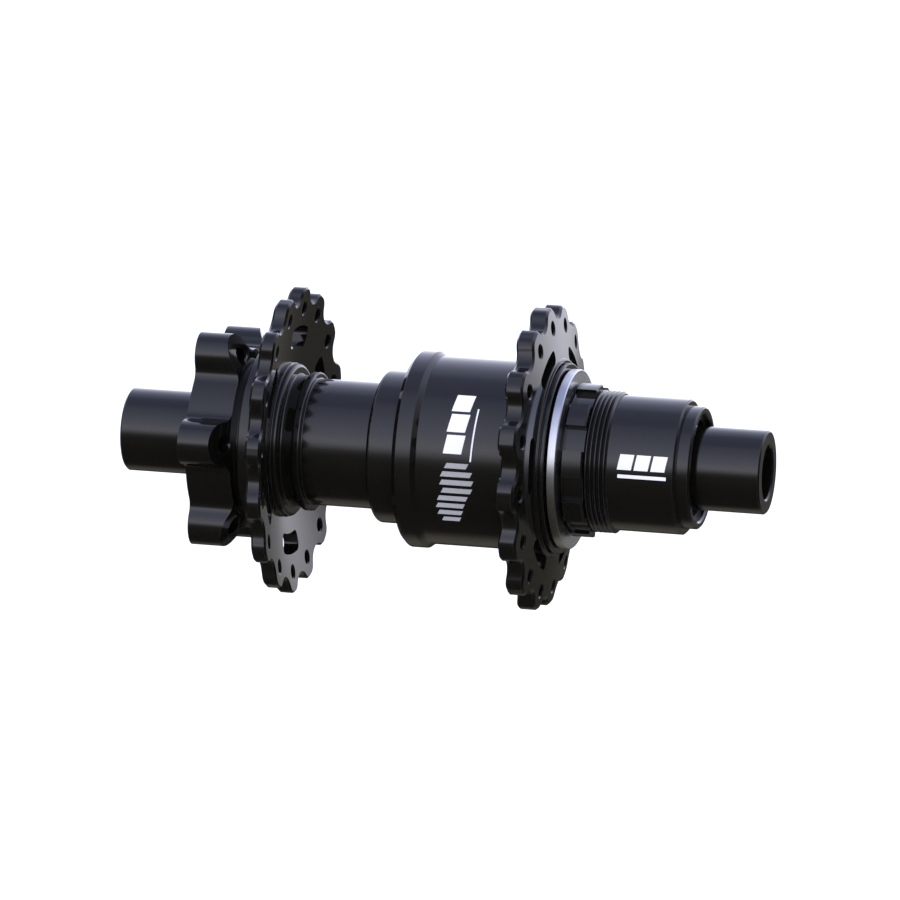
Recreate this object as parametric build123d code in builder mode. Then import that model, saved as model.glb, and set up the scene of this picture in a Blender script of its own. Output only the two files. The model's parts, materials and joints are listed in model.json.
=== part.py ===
"""Rear bicycle hub for a 148 x 12 mm through axle, six-bolt disc brake and a one-piece cassette.

Frame: the axle lies along Y with the origin on its centre line, midway between the two end
faces. +Y points to the disc brake side, -Y to the drive side, +X forward and +Z up. Lengths
are millimetres. A station is a distance from the origin toward the drive side, so station s
lies at Y = -s, and disc-side stations are negative.
"""

from build123d import *
import math
import os

# ---- driving dimensions -------------------------------------------------------------------

# Ends and axle
half_width = 74.0
axle_bore_r = 6.05
axle_r = 7.5
axle_shoulder_r = 9.0
axle_end = 65.0
axle_chamfer = 0.3
cap_r = 9.4
cap_chamfer = 0.35
cap_nose_r = 9.0
cap_nose_length = 1.5
spacer_r = 8.7
o_ring_wire_r = 0.5
o_ring_inset = 3.5

# Running gaps between pieces on different bodies
ball_gap = 0.07
lip_gap = 0.1
sprag_gap = 0.15
seat_gap = 0.05

# Spoke flanges: both lean inward by the same slope toward their rims
disc_flange_r = 34.75
drive_flange_r = 34.4
flange_lean = 0.15
petal_round_r = 3.0
petal_chamfer = 0.5
rim_edge_drop = 1.0
spoke_count = 16
spoke_circle_r = 30.0
spoke_hole_r = 1.5
spoke_hole_chamfer = 0.3
scallop_r = 4.19
cut_over = 1.0
scallop_circle_r = 35.8
disc_flange_outer = -37.3
disc_flange_inner = -33.8
drive_flange_inner = 20.0
drive_flange_outer = 24.15
disc_hole_angle = 12.3
drive_hole_angle = disc_hole_angle - 180.0 / spoke_count

# Windows through the flanges
window_count = 6
window_angle = 19.8
window_half_angle = 15.0
disc_window_r = (21.3, 26.0)
drive_window_r = (22.7, 25.8)
disc_window_corner = 1.6
drive_window_corner = 1.3

# Disc mount
rotor_face = -55.2
mount_back = -44.9
mount_back_slope = 0.48
mount_body_r = 20.5
bolt_count = 6
bolt_circle_r = 22.0
bolt_tap_r = 2.1
lug_r = 5.0
lug_fillet = 3.0
lug_angle = window_angle + 180.0 / window_count

# Hub shell outline
mount_neck_r = 17.5
mount_neck_end = -43.2
collar_r = 20.5
disc_boss_r = 17.3
disc_boss_end = -34.9
waist_groove_r = 14.8
bead_start = -31.9
bead_r = 15.7
bead_end = -30.15
tube_r = 14.3
tube_end = -14.4
step_r = 17.2
drum_rim_start = -7.15
drum_rim_r = 22.2
drum_rim_end = -2.75
drum_start = -1.5
drum_r = 21.2
drive_boss_r = 22.2
drive_boss_end = 26.6
lip_groove_r = 21.0
lip_start = 26.9
lip_r = 21.5
lip_end = 27.7

# Hub shell bores
tube_bore_r = 12.0
clutch_bore_r = 18.5
clutch_shoulder = -6.3
clutch_shoulder_r = 15.0

# Bearings: bore radius, outside radius, width, ball radius and ball count
axle_bearing = (7.5, 14.0, 7.0, 2.0, 12)
clutch_bearing = (12.5, 18.5, 7.0, 1.75, 18)
driver_bearing = (7.5, 12.0, 5.0, 1.2, 18)
disc_bearing_start = -54.0
mid_bearing_start = -14.3
clutch_bearing_start = 15.0
inboard_bearing_start = 29.3
outboard_bearing_start = 51.3
race_height = 0.6
cage_height = 0.3
cage_side = 0.45
pocket_gap = 0.06
seal_inset = 0.1
seal_thickness = 0.075
seal_depth = 0.45

# Sprag clutch
clutch_race_r = 16.0
driver_race_r = 12.0
driver_race_bore_r = 9.0
driver_race_start = -5.8
sprag_count = 16
sprag_lobe_r = 1.55
sprag_lobe_shift = 3.0
sprag_start = -4.0
sprag_end = 12.0
clutch_cage_r = (13.5, 14.6)
clutch_cage_margin = 1.2
sprag_window_width = 4.7
sprag_spring_r = 15.35
sprag_spring_wire_r = 0.4

# Driver
driver_start = 22.0
driver_nose_end = 22.6
driver_nose_r = 14.2
driver_land_r = 16.0
shield_start = 28.05
shield_end = 30.1
shield_r = 20.2
spline_count = 9
spline_r = 17.2
spline_root_r = 15.9
spline_relief_r = 15.0
spline_start = 30.55
spline_end = 35.4
spline_angle = 8.2
spline_chamfer = 0.3
thread_end = 40.6
thread_r = 15.95
thread_pitch = 1.04
thread_depth = 0.55
thread_crest = 0.16
barrel_r = 15.18
barrel_end = 56.0
barrel_chamfer = 0.4
driver_end = 59.05
driver_end_r = 13.75
driver_bore_r = 10.0
circlip_start = 56.6
circlip_end = 57.6
circlip_groove_r = 12.7
circlip_inner_r = 10.9
circlip_gap_angle = 24.0
circlip_eye_r = 0.95
circlip_eye_hole_r = 0.5

# Driver seal
driver_seal_start = 22.8
driver_seal_end = 27.2
driver_seal_wall = 1.0
driver_seal_lip = 0.6

# ---- helpers ------------------------------------------------------------------------------

# Half-section plane: local x is the radius and local y is the station
section = Plane(origin=(0, 0, 0), x_dir=(1, 0, 0), z_dir=(0, 0, -1))

os.makedirs("parts", exist_ok=True)


def across(station, turn=0.0):
    """Plane square to the axle at a station, seen from the drive side, x turned up from +X."""
    turn = math.radians(turn)
    return Plane(origin=(0, -station, 0), x_dir=(math.cos(turn), 0, math.sin(turn)), z_dir=(0, -1, 0))


def turned(*corners):
    """Solid turned about the axle line from its (radius, station) corners."""
    with BuildPart() as blank:
        with BuildSketch(section):
            with BuildLine():
                Polyline(*corners, close=True)
            make_face()
        revolve(axis=Axis.Y)
    return blank


def ring(inner_r, outer_r, start, end):
    """Plain ring between two radii and two stations."""
    return turned((inner_r, start), (outer_r, start), (outer_r, end), (inner_r, end))


def torus(circle_r, wire_r, station):
    """Round wire ring around the axle line."""
    with BuildPart() as wire:
        with BuildSketch(section):
            with Locations((circle_r, station)):
                Circle(wire_r)
        revolve(axis=Axis.Y)
    return wire


def windows(radii, corner_r, angle, start, end):
    """Curved four-sided windows around a flange, as one cutter."""
    inner_r, outer_r = radii
    with BuildPart() as cutters:
        for index in range(window_count):
            turn = angle + index * 360.0 / window_count
            with BuildSketch(across(start, turn)) as window:
                with BuildLine():
                    outer = CenterArc((0, 0), outer_r, -window_half_angle, 2 * window_half_angle)
                    inner = CenterArc((0, 0), inner_r, -window_half_angle, 2 * window_half_angle)
                    Line(outer @ 0, inner @ 0)
                    Line(outer @ 1, inner @ 1)
                make_face()
                fillet(window.vertices(), radius=corner_r)
            extrude(amount=end - start)
    return cutters


def rim_cutter(rim_r, angle, start, end):
    """What a scalloped, rounded rim leaves out between two stations, as one cutter."""
    with BuildPart() as petals:
        with BuildSketch(across(start, angle)) as outline:
            Circle(rim_r)
            with PolarLocations(scallop_circle_r, spoke_count, start_angle=180.0 / spoke_count):
                Circle(scallop_r, mode=Mode.SUBTRACT)
            fillet(outline.vertices(), radius=petal_round_r)
        extrude(amount=end - start)
    with BuildPart() as cutter:
        add(ring(spoke_circle_r, rim_r + cut_over, start, end).part)
        add(petals.part, mode=Mode.SUBTRACT)
    return cutter


def spoke_holes(angle, start, end):
    """Sixteen spoke holes through a flange, as one cutter."""
    with BuildPart() as cutters:
        with BuildSketch(across(start, angle)):
            with PolarLocations(spoke_circle_r, spoke_count):
                Circle(spoke_hole_r)
        extrude(amount=end - start)
    return cutters


def nearest_and_farthest(edge):
    """Smallest and largest distance of an edge from the axle line."""
    distances = [math.hypot(point.X, point.Z) for point in (edge @ (step / 8) for step in range(9))]
    return min(distances), max(distances)


# ---- hub shell ----------------------------------------------------------------------------

# A flange face lies on a cone: this much farther from the rim plane at each smaller radius
disc_outer_root = disc_flange_outer - flange_lean * (disc_flange_r - collar_r)
disc_inner_root = disc_flange_inner - flange_lean * (disc_flange_r - disc_boss_r)
drive_inner_root = drive_flange_inner + flange_lean * (drive_flange_r - drum_r)
drive_outer_root = drive_flange_outer + flange_lean * (drive_flange_r - drive_boss_r)

# Each corner: radius, station and the fillet radius there (0 leaves it sharp)
shell_outline = [
    (axle_bearing[1], rotor_face, 0),
    (mount_neck_r, rotor_face, 0),
    (mount_neck_r, mount_neck_end, 0.4),
    (collar_r, mount_neck_end, 0.4),
    (collar_r, disc_outer_root, 0.6),
    (disc_flange_r, disc_flange_outer, 0),
    (disc_flange_r, disc_flange_inner, 0),
    (disc_boss_r, disc_inner_root, 0.2),
    (disc_boss_r, disc_boss_end, 0.8),
    (waist_groove_r, disc_boss_end, 0.4),
    (waist_groove_r, bead_start, 0.3),
    (bead_r, bead_start, 0.4),
    (bead_r, bead_end, 0.4),
    (tube_r, bead_end, 0.2),
    (tube_r, tube_end, 0.5),
    (step_r, tube_end, 1.0),
    (step_r, drum_rim_start, 0.5),
    (drum_rim_r - 1.0, drum_rim_start, 0.2),
    (drum_rim_r, drum_rim_start + 1.0, 0.4),
    (drum_rim_r, drum_rim_end, 0.3),
    (drum_r, drum_start, 0.4),
    (drum_r, drive_inner_root, 1.0),
    (drive_flange_r, drive_flange_inner, 0),
    (drive_flange_r, drive_flange_outer, 0),
    (drive_boss_r, drive_outer_root, 0.3),
    (drive_boss_r, drive_boss_end, 0.2),
    (lip_groove_r, drive_boss_end, 0),
    (lip_groove_r, lip_start, 0),
    (lip_r, lip_start, 0.15),
    (lip_r, lip_end, 0.3),
    (clutch_bore_r, lip_end, 0.3),
    (clutch_bore_r, clutch_shoulder, 0),
    (clutch_shoulder_r, clutch_shoulder, 0),
    (clutch_shoulder_r, mid_bearing_start + axle_bearing[2], 0),
    (axle_bearing[1], mid_bearing_start + axle_bearing[2], 0),
    (axle_bearing[1], mid_bearing_start, 0),
    (tube_bore_r, mid_bearing_start, 0),
    (tube_bore_r, disc_bearing_start + axle_bearing[2], 0),
    (axle_bearing[1], disc_bearing_start + axle_bearing[2], 0),
]

# The mount's back is turned to a cone, so its lugs are thinner toward their tips
mount_blank_r = bolt_circle_r + lug_r + cut_over
mount_blank_back = mount_back - mount_back_slope * (mount_blank_r - mount_body_r)

with BuildPart() as rotor_mount:
    with BuildSketch(across(rotor_face, lug_angle)) as plate:
        Circle(mount_body_r)
        with PolarLocations(bolt_circle_r, bolt_count):
            Circle(lug_r)
        roots = plate.vertices().filter_by(lambda v: Vector(*v).length < bolt_circle_r)
        fillet(roots, radius=lug_fillet)
        Circle(axle_bearing[1], mode=Mode.SUBTRACT)
        with PolarLocations(bolt_circle_r, bolt_count):
            Circle(bolt_tap_r, mode=Mode.SUBTRACT)
    extrude(amount=mount_back - rotor_face)
    add(turned(
        (mount_body_r, mount_back),
        (mount_blank_r, mount_blank_back),
        (mount_blank_r, mount_back),
    ).part, mode=Mode.SUBTRACT)

with BuildPart() as hub_shell:
    with BuildSketch(section):
        with BuildLine():
            corners = [(radius, station) for radius, station, _ in shell_outline]
            rounds = [rounding for _, _, rounding in shell_outline]
            FilletPolyline(*corners, radius=rounds, close=True)
        make_face()
    revolve(axis=Axis.Y)

    disc_cut = (disc_outer_root - cut_over, disc_flange_inner + cut_over)
    drive_cut = (drive_flange_inner - cut_over, drive_outer_root + cut_over)
    add(rim_cutter(disc_flange_r, disc_hole_angle, *disc_cut).part, mode=Mode.SUBTRACT)
    add(rim_cutter(drive_flange_r, drive_hole_angle, *drive_cut).part, mode=Mode.SUBTRACT)
    rim_edges = hub_shell.edges().filter_by(
        lambda edge: nearest_and_farthest(edge)[0] > spoke_circle_r + spoke_hole_r
        and abs((edge @ 0).Y - (edge @ 1).Y) < rim_edge_drop
    )
    chamfer(rim_edges, length=petal_chamfer)

    add(spoke_holes(disc_hole_angle, *disc_cut).part, mode=Mode.SUBTRACT)
    add(spoke_holes(drive_hole_angle, *drive_cut).part, mode=Mode.SUBTRACT)
    hole_reach = spoke_hole_r + spoke_hole_chamfer
    hole_edges = hub_shell.edges().filter_by(
        lambda edge: nearest_and_farthest(edge)[0] > spoke_circle_r - hole_reach
        and nearest_and_farthest(edge)[1] < spoke_circle_r + hole_reach
        and abs((edge @ 0).Y - (edge @ 1).Y) < rim_edge_drop
    )
    chamfer(hole_edges, length=spoke_hole_chamfer)

    add(windows(disc_window_r, disc_window_corner, window_angle, *disc_cut).part, mode=Mode.SUBTRACT)
    add(windows(drive_window_r, drive_window_corner, lug_angle, *drive_cut).part, mode=Mode.SUBTRACT)

    with Locations(across(rotor_face, lug_angle)):
        with PolarLocations(bolt_circle_r, bolt_count):
            Cylinder(bolt_tap_r, 2 * (mount_back - rotor_face), mode=Mode.SUBTRACT)
    add(rotor_mount.part)

hub_shell.part.label = "hub_shell"
export_step(hub_shell.part, "parts/hub_shell.step")

# ---- axle, end caps and spacers -------------------------------------------------------------

disc_bearing_end = disc_bearing_start + axle_bearing[2]
mid_bearing_end = mid_bearing_start + axle_bearing[2]
inboard_bearing_end = inboard_bearing_start + driver_bearing[2]
outboard_bearing_end = outboard_bearing_start + driver_bearing[2]

axle = turned(
    (axle_bore_r, -axle_end),
    (axle_r - axle_chamfer, -axle_end),
    (axle_r, -axle_end + axle_chamfer),
    (axle_r, disc_bearing_end),
    (axle_shoulder_r, disc_bearing_end),
    (axle_shoulder_r, mid_bearing_start),
    (axle_r, mid_bearing_start),
    (axle_r, axle_end - axle_chamfer),
    (axle_r - axle_chamfer, axle_end),
    (axle_bore_r, axle_end),
)
axle.part.label = "axle"
export_step(axle.part, "parts/axle.step")

clutch_spacer = ring(axle_r, spacer_r, mid_bearing_end, inboard_bearing_start)
clutch_spacer.part.label = "clutch_spacer"
export_step(clutch_spacer.part, "parts/clutch_spacer.step")

driver_spacer = ring(axle_r, spacer_r, inboard_bearing_end, outboard_bearing_start)
driver_spacer.part.label = "driver_spacer"
export_step(driver_spacer.part, "parts/driver_spacer.step")

# Each cap pushes over the axle's end, stops on a bearing's inner race and is held by an O-ring
for side, name, inner_end in (
    (-1, "disc", -disc_bearing_start),
    (1, "drive", outboard_bearing_end),
):
    nose_end = inner_end + cap_nose_length
    ring_place = inner_end + o_ring_inset
    with BuildPart() as end_cap:
        with BuildSketch(section):
            with BuildLine():
                Polyline(
                    (axle_r, side * inner_end),
                    (cap_nose_r, side * inner_end),
                    (cap_nose_r, side * nose_end),
                    (cap_r, side * (nose_end + cap_r - cap_nose_r)),
                    (cap_r, side * (half_width - cap_chamfer)),
                    (cap_r - cap_chamfer, side * half_width),
                    (axle_bore_r + cap_chamfer, side * half_width),
                    (axle_bore_r, side * (half_width - cap_chamfer)),
                    (axle_bore_r, side * axle_end),
                    (axle_r, side * axle_end),
                    close=True,
                )
            make_face()
            with Locations((axle_r + o_ring_wire_r, side * ring_place)):
                Rectangle(2 * o_ring_wire_r, 2 * o_ring_wire_r, mode=Mode.SUBTRACT)
        revolve(axis=Axis.Y)
    end_cap.part.label = f"{name}_end_cap"
    export_step(end_cap.part, f"parts/{name}_end_cap.step")

    o_ring = torus(axle_r + o_ring_wire_r, o_ring_wire_r, side * ring_place)
    o_ring.part.label = f"{name}_cap_o_ring"
    export_step(o_ring.part, f"parts/{name}_cap_o_ring.step")

# ---- sprag clutch ---------------------------------------------------------------------------

clutch_outer_race = ring(clutch_race_r, clutch_bore_r, clutch_shoulder, clutch_bearing_start)
clutch_outer_race.part.label = "clutch_outer_race"
export_step(clutch_outer_race.part, "parts/clutch_outer_race.step")

clutch_middle = (sprag_start + sprag_end) / 2
clutch_length = sprag_end - sprag_start
spring_slot = sprag_spring_wire_r + seat_gap

with BuildPart() as sprags:
    with BuildSketch(across(sprag_start, sprag_lobe_shift)):
        with PolarLocations(clutch_race_r - seat_gap - sprag_lobe_r, sprag_count):
            Circle(sprag_lobe_r)
    extrude(amount=clutch_length)
    with BuildSketch(across(sprag_start, -sprag_lobe_shift)):
        with PolarLocations(driver_race_r + sprag_gap + sprag_lobe_r, sprag_count):
            Circle(sprag_lobe_r)
    extrude(amount=clutch_length)
    add(ring(sprag_spring_r - spring_slot, clutch_race_r, clutch_middle - spring_slot,
             clutch_middle + spring_slot).part, mode=Mode.SUBTRACT)
sprags.part.label = "sprags"
export_step(sprags.part, "parts/sprags.step")

with BuildPart() as sprag_cage:
    add(ring(*clutch_cage_r, sprag_start - clutch_cage_margin, sprag_end + clutch_cage_margin).part)
    with Locations(across(clutch_middle)):
        with PolarLocations(clutch_cage_r[1], sprag_count):
            Box(4 * sprag_lobe_r, sprag_window_width, clutch_length + 4 * seat_gap, mode=Mode.SUBTRACT)
sprag_cage.part.label = "sprag_cage"
export_step(sprag_cage.part, "parts/sprag_cage.step")

sprag_spring = torus(sprag_spring_r, sprag_spring_wire_r, clutch_middle)
sprag_spring.part.label = "sprag_spring"
export_step(sprag_spring.part, "parts/sprag_spring.step")

# ---- driver ---------------------------------------------------------------------------------

clutch_bearing_end = clutch_bearing_start + clutch_bearing[2]
driver_seat_r = driver_bearing[1]
tail_relief = 0.4

driver_inner_race = turned(
    (driver_race_bore_r, driver_race_start),
    (driver_race_r, driver_race_start),
    (driver_race_r, clutch_bearing_start),
    (clutch_bearing[0], clutch_bearing_start),
    (clutch_bearing[0], clutch_bearing_end),
    (driver_race_r, clutch_bearing_end),
    (driver_race_r, inboard_bearing_start),
    (driver_bore_r, inboard_bearing_start),
    (driver_bore_r, inboard_bearing_start - tail_relief),
    (driver_race_bore_r, inboard_bearing_start - tail_relief),
)
driver_inner_race.part.label = "driver_inner_race"
export_step(driver_inner_race.part, "parts/driver_inner_race.step")

# Thread ridges: each rises to a narrow flat crest and falls back to the root
thread_root_r = thread_r - thread_depth
thread_outline = []
for turn in range(round((thread_end - spline_end) / thread_pitch)):
    ridge = spline_end + (turn + 0.5) * thread_pitch
    thread_outline += [
        (thread_root_r, ridge - thread_pitch / 2),
        (thread_r, ridge - thread_crest / 2),
        (thread_r, ridge + thread_crest / 2),
    ]

with BuildPart() as splines:
    add(turned(
        (spline_relief_r, spline_start),
        (spline_r - spline_chamfer, spline_start),
        (spline_r, spline_start + spline_chamfer),
        (spline_r, spline_end - spline_chamfer),
        (spline_r - spline_chamfer, spline_end),
        (spline_relief_r, spline_end),
    ).part)
    half_valley = math.radians(90.0 / spline_count)
    reach = 2 * spline_r
    for index in range(spline_count):
        valley_angle = spline_angle + (index + 0.5) * 360.0 / spline_count
        with BuildSketch(across(spline_start, valley_angle)):
            with BuildLine():
                Polyline(
                    (0, 0),
                    (reach * math.cos(half_valley), -reach * math.sin(half_valley)),
                    (reach * math.cos(half_valley), reach * math.sin(half_valley)),
                    close=True,
                )
            make_face()
        extrude(amount=spline_end - spline_start, mode=Mode.SUBTRACT)

with BuildPart() as driver_body:
    add(turned(
        (driver_seat_r, driver_start),
        (driver_nose_r, driver_start),
        (driver_nose_r, driver_nose_end),
        (driver_land_r, driver_nose_end),
        (driver_land_r, shield_end),
        (spline_relief_r, shield_end),
        (spline_relief_r, spline_start),
        (spline_root_r, spline_start),
        (spline_root_r, spline_end),
        *thread_outline,
        (thread_root_r, thread_end),
        (barrel_r, thread_end),
        (barrel_r, barrel_end - barrel_chamfer),
        (barrel_r - barrel_chamfer, barrel_end),
        (driver_end_r, barrel_end),
        (driver_end_r, driver_end - barrel_chamfer),
        (driver_end_r - barrel_chamfer, driver_end),
        (driver_seat_r + barrel_chamfer, driver_end),
        (driver_seat_r, driver_end - barrel_chamfer),
        (driver_seat_r, circlip_end),
        (circlip_groove_r, circlip_end),
        (circlip_groove_r, circlip_start),
        (driver_seat_r, circlip_start),
        (driver_seat_r, outboard_bearing_start),
        (driver_bore_r, outboard_bearing_start),
        (driver_bore_r, inboard_bearing_end),
        (driver_seat_r, inboard_bearing_end),
    ).part)
    add(splines.part)
driver_body.part.label = "driver_body"
export_step(driver_body.part, "parts/driver_body.step")

shield_chamfer = 0.2
shield_ring = turned(
    (driver_land_r, shield_start),
    (shield_r - shield_chamfer, shield_start),
    (shield_r, shield_start + shield_chamfer),
    (shield_r, shield_end - shield_chamfer),
    (shield_r - shield_chamfer, shield_end),
    (driver_land_r, shield_end),
)
shield_ring.part.label = "shield_ring"
export_step(shield_ring.part, "parts/shield_ring.step")

driver_seal = turned(
    (clutch_bore_r, driver_seal_start),
    (clutch_bore_r, driver_seal_end),
    (driver_land_r + lip_gap, driver_seal_end),
    (driver_land_r + lip_gap, driver_seal_end - driver_seal_lip),
    (clutch_bore_r - driver_seal_wall, driver_seal_end - 2 * driver_seal_lip),
    (clutch_bore_r - driver_seal_wall, driver_seal_start),
)
driver_seal.part.label = "driver_seal"
export_step(driver_seal.part, "parts/driver_seal.step")

with BuildPart() as circlip:
    with BuildSketch(across(circlip_start)):
        Circle(circlip_groove_r)
        Circle(circlip_inner_r, mode=Mode.SUBTRACT)
        half_gap = math.radians(circlip_gap_angle / 2)
        with BuildLine():
            Polyline(
                (0, 0),
                (reach * math.cos(half_gap), -reach * math.sin(half_gap)),
                (reach * math.cos(half_gap), reach * math.sin(half_gap)),
                close=True,
            )
        make_face(mode=Mode.SUBTRACT)
        eye_angle = half_gap + circlip_eye_r / circlip_inner_r
        for turn in (-eye_angle, eye_angle):
            with Locations((circlip_inner_r * math.cos(turn), circlip_inner_r * math.sin(turn))):
                Circle(circlip_eye_r)
                Circle(circlip_eye_hole_r, mode=Mode.SUBTRACT)
    extrude(amount=circlip_end - circlip_start)
circlip.part.label = "circlip"
export_step(circlip.part, "parts/circlip.step")

# ---- ball bearings --------------------------------------------------------------------------

bearings = {
    "disc_bearing": (disc_bearing_start, axle_bearing),
    "mid_bearing": (mid_bearing_start, axle_bearing),
    "clutch_bearing": (clutch_bearing_start, clutch_bearing),
    "inboard_bearing": (inboard_bearing_start, driver_bearing),
    "outboard_bearing": (outboard_bearing_start, driver_bearing),
}

for name, (start, (bore_r, outside_r, width, ball_r, ball_count)) in bearings.items():
    end = start + width
    middle = start + width / 2
    pitch_r = (bore_r + outside_r) / 2
    inner_land_r = pitch_r - race_height * ball_r
    outer_land_r = pitch_r + race_height * ball_r
    seal_seat_r = outer_land_r + seal_depth * (outside_r - outer_land_r)
    seal_reach = seal_inset + seal_thickness * width
    groove = torus(pitch_r, ball_r + ball_gap, middle)

    with BuildPart() as inner_race:
        add(ring(bore_r, inner_land_r, start, end).part)
        add(groove.part, mode=Mode.SUBTRACT)
    inner_race.part.label = f"{name}_inner_race"
    export_step(inner_race.part, f"parts/{name}_inner_race.step")

    with BuildPart() as outer_race:
        add(ring(outer_land_r, outside_r, start, end).part)
        add(groove.part, mode=Mode.SUBTRACT)
        add(ring(outer_land_r - lip_gap, seal_seat_r, start, start + seal_reach).part, mode=Mode.SUBTRACT)
        add(ring(outer_land_r - lip_gap, seal_seat_r, end - seal_reach, end).part, mode=Mode.SUBTRACT)
    outer_race.part.label = f"{name}_outer_race"
    export_step(outer_race.part, f"parts/{name}_outer_race.step")

    with BuildPart() as balls:
        with Locations(across(middle)):
            with PolarLocations(pitch_r, ball_count):
                Sphere(ball_r)
    balls.part.label = f"{name}_balls"
    export_step(balls.part, f"parts/{name}_balls.step")

    with BuildPart() as cage:
        half_cage = ball_r + cage_side
        inside_r = pitch_r - cage_height * ball_r
        outside = pitch_r + cage_height * ball_r
        add(ring(inside_r, outside, middle - half_cage, middle + half_cage).part)
        with Locations(across(middle)):
            with PolarLocations(pitch_r, ball_count):
                Cylinder(ball_r + pocket_gap, 2 * ball_r, rotation=(0, 90, 0), mode=Mode.SUBTRACT)
    cage.part.label = f"{name}_cage"
    export_step(cage.part, f"parts/{name}_cage.step")

    with BuildPart() as seals:
        add(ring(inner_land_r + lip_gap, seal_seat_r, start + seal_inset, start + seal_reach).part)
        add(ring(inner_land_r + lip_gap, seal_seat_r, end - seal_reach, end - seal_inset).part)
    seals.part.label = f"{name}_seals"
    export_step(seals.part, f"parts/{name}_seals.step")
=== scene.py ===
"""Studio view of the rear hub: materials, printed marks, floor, light and camera."""

import json
import math

import bmesh
import bpy
from mathutils import Matrix, Vector


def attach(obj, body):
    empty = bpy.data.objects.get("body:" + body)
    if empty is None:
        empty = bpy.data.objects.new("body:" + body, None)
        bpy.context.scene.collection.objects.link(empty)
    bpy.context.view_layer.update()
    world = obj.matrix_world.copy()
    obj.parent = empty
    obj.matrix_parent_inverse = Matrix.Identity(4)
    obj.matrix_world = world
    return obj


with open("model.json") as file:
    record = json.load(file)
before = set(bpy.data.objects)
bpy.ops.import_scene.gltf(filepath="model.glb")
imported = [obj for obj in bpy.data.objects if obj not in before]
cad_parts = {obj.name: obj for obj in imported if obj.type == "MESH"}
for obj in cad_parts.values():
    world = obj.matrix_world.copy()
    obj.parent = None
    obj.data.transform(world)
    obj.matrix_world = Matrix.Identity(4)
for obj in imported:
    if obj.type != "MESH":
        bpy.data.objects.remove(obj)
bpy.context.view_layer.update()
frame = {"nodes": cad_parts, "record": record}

MM = 0.001

# ---- camera --------------------------------------------------------------------------------

# Angles are in degrees and distances in metres; the lens and the sensor are in millimetres
CAMERA_AZIMUTH = -75.27
CAMERA_ELEVATION = 15.23
CAMERA_DISTANCE = 1.6654
CAMERA_LENS = 296.0
CAMERA_SENSOR = 36.0
CAMERA_NEAR = 0.05
CAMERA_FAR = 60.0
AIM_RIGHT = 0.824 * MM
AIM_UP = 0.097 * MM


def make_camera():
    """Looks at the middle of the hub from the drive side; returns the axis back to the camera."""
    azimuth, elevation = math.radians(CAMERA_AZIMUTH), math.radians(CAMERA_ELEVATION)
    back = Vector((
        math.sin(azimuth) * math.cos(elevation),
        -math.cos(azimuth) * math.cos(elevation),
        math.sin(elevation),
    ))
    right = Vector((0, 0, 1)).cross(back).normalized()
    up = back.cross(right)
    camera = bpy.data.objects.new("camera", bpy.data.cameras.new("camera"))
    camera.data.lens = CAMERA_LENS
    camera.data.sensor_width = CAMERA_SENSOR
    camera.data.clip_start = CAMERA_NEAR
    camera.data.clip_end = CAMERA_FAR
    place = AIM_RIGHT * right + AIM_UP * up + CAMERA_DISTANCE * back
    turn = Matrix((right, up, back)).transposed().to_4x4()
    camera.matrix_world = Matrix.Translation(place) @ turn
    bpy.context.collection.objects.link(camera)
    bpy.context.scene.camera = camera
    return back


# ---- node helpers --------------------------------------------------------------------------

# Nearly all values of a noise lie between these
NOISE_LOW = 0.3
NOISE_HIGH = 0.7

# Cosines between the true and the bevelled normal where the painted edge highlight begins and
# where it is full
EDGE_BEGINS = 0.995
EDGE_FULL = 0.9
EDGE_SAMPLES = 4


def new_material(name):
    """An empty node material with its output and a Principled shader."""
    material = bpy.data.materials.new(name)
    material.use_nodes = True
    nodes = material.node_tree.nodes
    nodes.clear()
    output = nodes.new("ShaderNodeOutputMaterial")
    shader = nodes.new("ShaderNodeBsdfPrincipled")
    material.node_tree.links.new(shader.outputs["BSDF"], output.inputs["Surface"])
    return material, shader


def math_node(tree, operation, *values):
    """A Math node; each value is a number or an output socket."""
    node = tree.nodes.new("ShaderNodeMath")
    node.operation = operation
    for index, value in enumerate(values):
        if isinstance(value, (int, float)):
            node.inputs[index].default_value = value
        else:
            tree.links.new(value, node.inputs[index])
    return node.outputs[0]


def noise(tree, vector, scale, detail=2.0, roughness=0.5):
    """Noise between 0 and 1 at a scale in cycles per metre of the vector."""
    node = tree.nodes.new("ShaderNodeTexNoise")
    node.inputs["Scale"].default_value = scale
    node.inputs["Detail"].default_value = detail
    node.inputs["Roughness"].default_value = roughness
    tree.links.new(vector, node.inputs["Vector"])
    return node.outputs["Fac"]


def spread(tree, value, low, high, to_low, to_high):
    """Maps low..high to to_low..to_high and clamps."""
    node = tree.nodes.new("ShaderNodeMapRange")
    tree.links.new(value, node.inputs["Value"])
    node.inputs["From Min"].default_value = low
    node.inputs["From Max"].default_value = high
    node.inputs["To Min"].default_value = to_low
    node.inputs["To Max"].default_value = to_high
    return node.outputs["Result"]


def spread_noise(tree, value, to_low, to_high):
    """Maps the usual range of a noise to to_low..to_high and clamps."""
    return spread(tree, value, NOISE_LOW, NOISE_HIGH, to_low, to_high)


def blend_colours(tree, factor, first, second):
    """Mixes two fixed colours by a factor socket."""
    node = tree.nodes.new("ShaderNodeMix")
    node.data_type = "RGBA"
    node.inputs["A"].default_value = (*first, 1.0)
    node.inputs["B"].default_value = (*second, 1.0)
    tree.links.new(factor, node.inputs["Factor"])
    return node.outputs["Result"]


def dot_product(tree, vector, other):
    """The dot product of a vector socket and a fixed vector or a second socket."""
    node = tree.nodes.new("ShaderNodeVectorMath")
    node.operation = "DOT_PRODUCT"
    tree.links.new(vector, node.inputs[0])
    if isinstance(other, Vector):
        node.inputs[1].default_value = other
    else:
        tree.links.new(other, node.inputs[1])
    return node.outputs["Value"]


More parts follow.
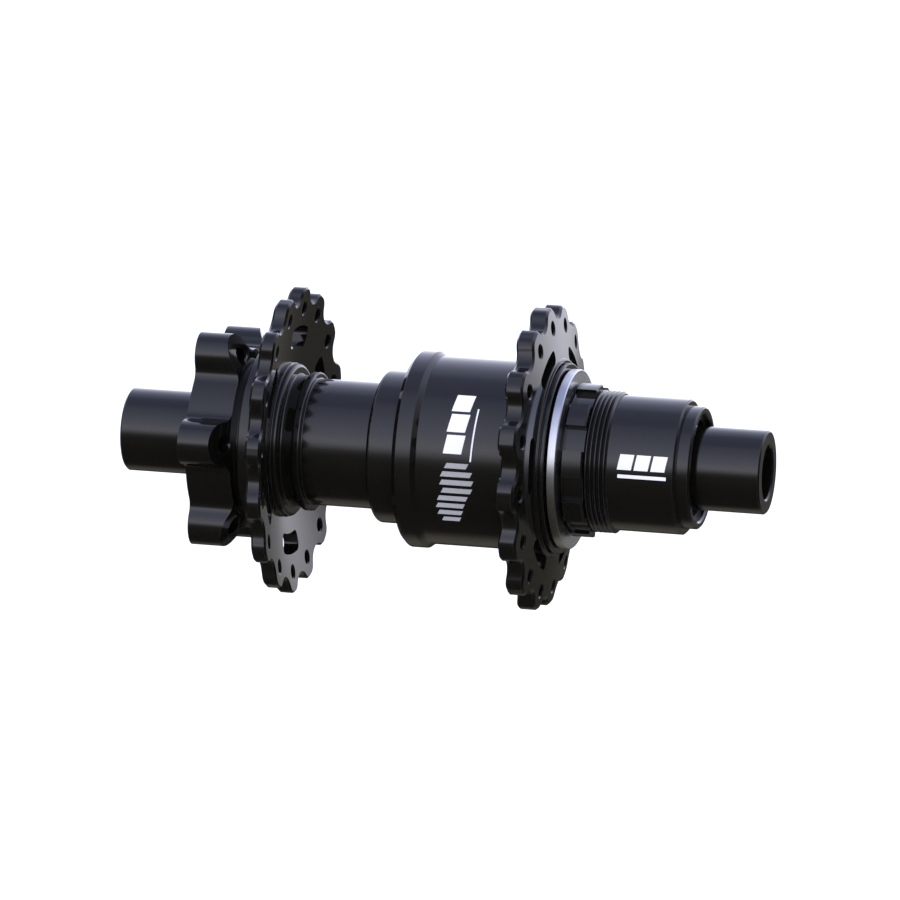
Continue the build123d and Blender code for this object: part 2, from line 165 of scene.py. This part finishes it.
def object_coordinates(tree):
    """The shaded point in its object's own frame."""
    return tree.nodes.new("ShaderNodeTexCoord").outputs["Object"]


def lathe_coordinates(tree):
    """Radius and place along the axle, so that a noise of them makes rings round the axle."""
    split = tree.nodes.new("ShaderNodeSeparateXYZ")
    tree.links.new(object_coordinates(tree), split.inputs[0])
    x_squared = math_node(tree, "MULTIPLY", split.outputs["X"], split.outputs["X"])
    radius_squared = math_node(tree, "MULTIPLY_ADD", split.outputs["Z"], split.outputs["Z"],
                               x_squared)
    join = tree.nodes.new("ShaderNodeCombineXYZ")
    tree.links.new(math_node(tree, "SQRT", radius_squared), join.inputs["X"])
    tree.links.new(split.outputs["Y"], join.inputs["Y"])
    return join.outputs[0]


def edge_mask(tree, width):
    """1 on sharp edges, 0 away from them."""
    bevel = tree.nodes.new("ShaderNodeBevel")
    bevel.samples = EDGE_SAMPLES
    bevel.inputs["Radius"].default_value = width
    geometry = tree.nodes.new("ShaderNodeNewGeometry")
    bent = dot_product(tree, bevel.outputs["Normal"], geometry.outputs["Normal"])
    return spread(tree, bent, EDGE_BEGINS, EDGE_FULL, 0.0, 1.0)


def add_bump(tree, shader, height, depth, strength):
    """Bends a shader's normal by a height socket; the depth is in metres."""
    bump = tree.nodes.new("ShaderNodeBump")
    bump.inputs["Strength"].default_value = strength
    bump.inputs["Distance"].default_value = depth
    tree.links.new(height, bump.inputs["Height"])
    tree.links.new(bump.outputs["Normal"], shader.inputs["Normal"])


# ---- materials -----------------------------------------------------------------------------

EDGE_WIDTH = 0.25 * MM
# Least strength of the painted edge highlight; a noise raises it toward full
LEAST_EDGE_HIGHLIGHT = 0.35
ANODISED_IOR = 1.5
INK_DEPTH = 0.004 * MM
INK_ROUGHNESS = (0.38, 0.52)


def anodised(name, colour, edge_highlight_colour, roughness, ring_scale, ring_depth):
    """Dyed and sealed aluminium: fine lathe rings, faint handling marks and a paler colour painted
    on the edges as a highlight.
    """
    material, shader = new_material(name)
    tree = material.node_tree
    lathe = lathe_coordinates(tree)
    solid = object_coordinates(tree)
    rings = noise(tree, lathe, ring_scale, detail=4.0, roughness=0.65)
    smears = noise(tree, solid, scale=90.0, detail=3.0)
    # A paler colour painted on sharp edges as a highlight, its strength varied by the smear noise
    edges = math_node(tree, "MULTIPLY", edge_mask(tree, EDGE_WIDTH),
                      spread_noise(tree, smears, LEAST_EDGE_HIGHLIGHT, 1.0))
    tree.links.new(blend_colours(tree, edges, colour, edge_highlight_colour), shader.inputs["Base Color"])
    uneven = math_node(tree, "ADD", spread_noise(tree, smears, -0.02, 0.03),
                       spread_noise(tree, rings, roughness - 0.02, roughness + 0.03))
    tree.links.new(uneven, shader.inputs["Roughness"])
    shader.inputs["IOR"].default_value = ANODISED_IOR
    add_bump(tree, shader, rings, ring_depth, strength=0.35)
    return material


def bare_metal(name, colour, shade, roughness, ring_scale, ring_depth):
    """Turned or ground metal with rings round the axle."""
    material, shader = new_material(name)
    tree = material.node_tree
    lathe = lathe_coordinates(tree)
    rings = noise(tree, lathe, ring_scale, detail=5.0, roughness=0.7)
    patches = noise(tree, object_coordinates(tree), scale=160.0, detail=3.0)
    tree.links.new(blend_colours(tree, patches, colour, shade), shader.inputs["Base Color"])
    tree.links.new(spread_noise(tree, rings, roughness - 0.05, roughness + 0.07),
                   shader.inputs["Roughness"])
    shader.inputs["Metallic"].default_value = 1.0
    add_bump(tree, shader, rings, ring_depth, strength=0.4)
    return material


def moulded(name, colour, shade, roughness, grain_scale, grain_depth):
    """Rubber or plastic with a fine even grain."""
    material, shader = new_material(name)
    tree = material.node_tree
    solid = object_coordinates(tree)
    grain = noise(tree, solid, grain_scale, detail=3.0)
    patches = noise(tree, solid, scale=120.0)
    tree.links.new(blend_colours(tree, patches, colour, shade), shader.inputs["Base Color"])
    tree.links.new(spread_noise(tree, grain, roughness - 0.06, roughness + 0.08),
                   shader.inputs["Roughness"])
    add_bump(tree, shader, grain, grain_depth, strength=0.5)
    return material


def printed_ink(name, colour, shade):
    """Opaque screen-printed ink with slight unevenness in its film."""
    material, shader = new_material(name)
    tree = material.node_tree
    film = noise(tree, object_coordinates(tree), scale=2500.0, detail=3.0)
    tree.links.new(blend_colours(tree, film, colour, shade), shader.inputs["Base Color"])
    tree.links.new(spread_noise(tree, film, *INK_ROUGHNESS), shader.inputs["Roughness"])
    add_bump(tree, shader, film, INK_DEPTH, strength=0.4)
    return material


def give(node, material):
    """Puts one material in every material slot of a CAD node."""
    slots = frame["nodes"][node].data.materials
    if not slots:
        slots.append(material)
    for index in range(len(slots)):
        slots[index] = material


def dress_nodes():
    """Gives every CAD node the material of its slot in the record."""
    by_slot = {
        # The second colour of the black anodising is the paler painted edge highlight
        "black_anodised": anodised("black_anodised", (0.0038, 0.0036, 0.0028), (0.02, 0.02, 0.021),
                                   0.075, 5200.0, 0.001 * MM),
        "bare_aluminium": bare_metal("bare_aluminium", (0.63, 0.64, 0.66), (0.55, 0.56, 0.58),
                                     0.26, 6400.0, 0.0008 * MM),
        "bearing_steel": bare_metal("bearing_steel", (0.5, 0.5, 0.52), (0.42, 0.42, 0.44),
                                    0.16, 9000.0, 0.001 * MM),
        "clutch_steel": bare_metal("clutch_steel", (0.4, 0.39, 0.4), (0.3, 0.3, 0.31),
                                   0.22, 8000.0, 0.002 * MM),
        "spring_steel": bare_metal("spring_steel", (0.09, 0.09, 0.095), (0.05, 0.05, 0.055),
                                   0.34, 7000.0, 0.002 * MM),
        "cage_plastic": moulded("cage_plastic", (0.42, 0.3, 0.15), (0.34, 0.24, 0.12),
                                0.45, 5000.0, 0.006 * MM),
        "seal_rubber": moulded("seal_rubber", (0.01, 0.01, 0.011), (0.02, 0.02, 0.021),
                               0.55, 6000.0, 0.008 * MM),
    }
    for part in frame["record"]["subparts"]:
        give(part["node"], by_slot[part["material_slot"]])


# ---- printed marks -------------------------------------------------------------------------

# The ink's film starts just off the metal; a bar is bent in steps of at most ARC_STEP degrees
PRINT_BASE = 0.035 * MM
PRINT_TOP = 0.06 * MM
ARC_STEP = 1.5

DRUM_RADIUS = 21.2 * MM
BARREL_RADIUS = 15.18 * MM

# Angle round the axle that faces the camera
FRONT = 180.0 - 15.7

# Blocks on the drum: stations in mm, arcs and pitch in degrees, each a little nearer the disc side
BLOCK_COUNT = 3
BLOCK_STATIONS = (6.2, 10.4)
BLOCK_SHIFT = 0.45
BLOCK_ARC = (-36.0, -24.6)
BLOCK_PITCH = 13.2
BLOCK_SLANT = -0.7
DRUM_LINE = ((11.4, 11.75), (FRONT - 27.0, FRONT + 6.0), -0.6)

# Stripes under the blocks, from the top down
STRIPE_STATIONS = (
    (5.6, 10.6), (4.7, 11.5), (4.5, 11.8), (4.8, 11.5),
    (3.8, 10.4), (3.4, 9.6), (3.6, 9.0), (4.4, 8.4),
)
STRIPE_ARC = (7.4, 10.6)
STRIPE_PITCH = 5.2
STRIPE_SLANT = -0.6

# Label on the driver's barrel: blocks in a row with a line under them
LABEL_COUNT = 3
LABEL_STATIONS = (43.6, 46.8)
LABEL_PITCH = 3.8
LABEL_ARC = (-7.0, 6.0)
LABEL_SLANT = -0.6
LABEL_LINE = ((43.2, 54.2), (FRONT + 10.0, FRONT + 13.0), 0.0)


def add_bar(mesh, radius, stations, angles, slant):
    """A closed thin bar bent round the axle; the angles run from +X up toward +Z."""
    steps = max(1, math.ceil(abs(angles[1] - angles[0]) / ARC_STEP))
    rows = []
    for step in range(steps + 1):
        share = step / steps
        angle = math.radians(angles[0] + share * (angles[1] - angles[0]))
        corners = []
        for station, lift in ((0, PRINT_BASE), (1, PRINT_BASE), (1, PRINT_TOP), (0, PRINT_TOP)):
            along = (stations[station] + slant * share) * MM
            reach = radius + lift
            place = (reach * math.cos(angle), -along, reach * math.sin(angle))
            corners.append(mesh.verts.new(place))
        rows.append(corners)
    for low, high in zip(rows, rows[1:]):
        for side in range(4):
            following = (side + 1) % 4
            mesh.faces.new((low[side], low[following], high[following], high[side]))
    mesh.faces.new(list(reversed(rows[0])))
    mesh.faces.new(rows[-1])


def make_print(name, radius, bars, body, material):
    """One printed mark made of bars: (stations, angles, slant) for each, in mm and degrees."""
    mesh = bmesh.new()
    for stations, angles, slant in bars:
        add_bar(mesh, radius, stations, angles, slant)
    bmesh.ops.recalc_face_normals(mesh, faces=mesh.faces)
    data = bpy.data.meshes.new(name)
    mesh.to_mesh(data)
    mesh.free()
    for polygon in data.polygons:
        polygon.use_smooth = False
    data.materials.append(material)
    piece = bpy.data.objects.new(name, data)
    bpy.context.collection.objects.link(piece)
    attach(piece, body)


def print_marks():
    """Plain bars where a maker would print a mark: on the drum and on the driver's barrel."""
    white = printed_ink("white_print", (0.82, 0.82, 0.84), (0.74, 0.74, 0.76))
    grey = printed_ink("grey_print", (0.37, 0.365, 0.355), (0.28, 0.275, 0.265))
    blocks = [(tuple(station - BLOCK_SHIFT * n for station in BLOCK_STATIONS),
               tuple(FRONT + angle + BLOCK_PITCH * n for angle in BLOCK_ARC), BLOCK_SLANT)
              for n in range(BLOCK_COUNT)]
    make_print("drum_print", DRUM_RADIUS, [*blocks, DRUM_LINE], "hub", white)
    stripes = [(stations, tuple(FRONT + angle + STRIPE_PITCH * n for angle in STRIPE_ARC),
                STRIPE_SLANT)
               for n, stations in enumerate(STRIPE_STATIONS)]
    make_print("drum_print_lower", DRUM_RADIUS, stripes, "hub", grey)
    label = [(tuple(station + LABEL_PITCH * n for station in LABEL_STATIONS),
              tuple(FRONT + angle for angle in LABEL_ARC), LABEL_SLANT)
             for n in range(LABEL_COUNT)]
    make_print("driver_print", BARREL_RADIUS, [*label, LABEL_LINE], "driver",
               white)


# ---- floor and light -----------------------------------------------------------------------

FLOOR_DROP = 0.45
FLOOR_HALF = 15.0
FLOOR_CORNERS = ((-1, -1), (1, -1), (1, 1), (-1, 1))
FLOOR_COLOURS = ((0.93, 0.93, 0.93), (0.9, 0.9, 0.9))
FLOOR_ROUGHNESS = 0.9
SUN_ENERGY = 1.6
SUN_SPREAD = 60.0


def make_floor():
    """A plain pale sheet well under the hub."""
    material, shader = new_material("floor")
    tree = material.node_tree
    cloudy = noise(tree, object_coordinates(tree), scale=0.7)
    tree.links.new(blend_colours(tree, cloudy, *FLOOR_COLOURS), shader.inputs["Base Color"])
    shader.inputs["Roughness"].default_value = FLOOR_ROUGHNESS
    mesh = bpy.data.meshes.new("floor")
    corners = [(x * FLOOR_HALF, y * FLOOR_HALF, -FLOOR_DROP) for x, y in FLOOR_CORNERS]
    mesh.from_pydata(corners, [], [tuple(range(len(corners)))])
    mesh.materials.append(material)
    floor = bpy.data.objects.new("floor", mesh)
    bpy.context.collection.objects.link(floor)
    floor.visible_glossy = False


# Light of the studio by how far a direction lies above the tilted edge of its dark floor
STUDIO = [
    (-1.0, (0.04, 0.036, 0.028)),
    (-0.67, (0.075, 0.07, 0.055)),
    (-0.3, (0.14, 0.135, 0.125)),
    (-0.2, (0.22, 0.22, 0.22)),
    (-0.1, (0.45, 0.45, 0.47)),
    (0.0, (1.15, 1.15, 1.25)),
    (0.105, (1.8, 1.8, 2.05)),
    (0.21, (1.88, 1.9, 2.2)),
    (0.4, (1.56, 1.6, 1.95)),
    (0.675, (1.17, 1.24, 1.68)),
    (0.95, (0.72, 0.8, 1.15)),
    (1.0, (0.5, 0.56, 0.88)),
]
STUDIO_TILT = 0.195
STUDIO_EDGE = -0.027

# The dark floor's edge grows to this many times sharper between these two cosines from straight
# behind the hub; from SHARP_TOP up the light is as it is in front
SHARPER_BEHIND = 5.0
SHARP_FADE = (0.5, 0.9)
SHARP_TOP = 0.3

# The studio is dark toward the axle's two ends
END_FADE = (0.62, 0.92)
END_LIGHT = 0.06

# A faint warm glow off the floor far behind and below
GLOW = (0.2, 0.187, 0.155)
GLOW_BEHIND = (0.25, 0.5)
GLOW_BELOW = (-0.5, -0.75)


def make_studio(back):
    """Soft light from above and all round, dark below and at the axle's two ends."""
    world = bpy.data.worlds.new("studio")
    bpy.context.scene.world = world
    world.use_nodes = True
    tree = world.node_tree
    tree.nodes.clear()
    direction = tree.nodes.new("ShaderNodeTexCoord").outputs["Generated"]
    toward = Vector((back.x, back.y, 0)).normalized()
    tilted = dot_product(tree, direction, Vector((0, 0, 1)) - STUDIO_TILT * toward)
    behind = dot_product(tree, direction, -toward)
    sharpness = spread(tree, behind, *SHARP_FADE, 1.0, SHARPER_BEHIND)
    above = math_node(tree, "SUBTRACT", tilted, STUDIO_EDGE)
    height = math_node(tree, "MINIMUM", math_node(tree, "MULTIPLY", above, sharpness),
                       math_node(tree, "MAXIMUM", above, SHARP_TOP))
    ramp = tree.nodes.new("ShaderNodeValToRGB")
    stops = ramp.color_ramp.elements
    while len(stops) < len(STUDIO):
        stops.new(0.5)
    for stop, (place, colour) in zip(stops, STUDIO):
        stop.position = (place + 1) / 2
        stop.color = (*colour, 1.0)
    tree.links.new(spread(tree, height, -1.0, 1.0, 0.0, 1.0), ramp.inputs["Fac"])
    split = tree.nodes.new("ShaderNodeSeparateXYZ")
    tree.links.new(direction, split.inputs[0])
    endwise = math_node(tree, "ABSOLUTE", split.outputs["Y"])
    ends = spread(tree, endwise, *END_FADE, 1.0, END_LIGHT)
    glow = math_node(tree, "MULTIPLY", spread(tree, behind, *GLOW_BEHIND, 0.0, 1.0),
                     spread(tree, split.outputs["Z"], *GLOW_BELOW, 0.0, 1.0))
    with_glow = tree.nodes.new("ShaderNodeMix")
    with_glow.data_type = "RGBA"
    with_glow.blend_type = "ADD"
    with_glow.inputs["B"].default_value = (*GLOW, 1.0)
    tree.links.new(ramp.outputs["Color"], with_glow.inputs["A"])
    tree.links.new(glow, with_glow.inputs["Factor"])
    background = tree.nodes.new("ShaderNodeBackground")
    tree.links.new(with_glow.outputs["Result"], background.inputs["Color"])
    tree.links.new(ends, background.inputs["Strength"])
    output = tree.nodes.new("ShaderNodeOutputWorld")
    tree.links.new(background.outputs[0], output.inputs["Surface"])


def add_sun():
    """Lights the floor to white; the hub's gloss doesn't show it."""
    sun = bpy.data.objects.new("sun", bpy.data.lights.new("sun", "SUN"))
    sun.data.energy = SUN_ENERGY
    sun.data.angle = math.radians(SUN_SPREAD)
    sun.visible_glossy = False
    bpy.context.collection.objects.link(sun)


back = make_camera()
dress_nodes()
print_marks()
make_floor()
make_studio(back)
add_sun()
bpy.context.scene.view_settings.view_transform = "Standard"
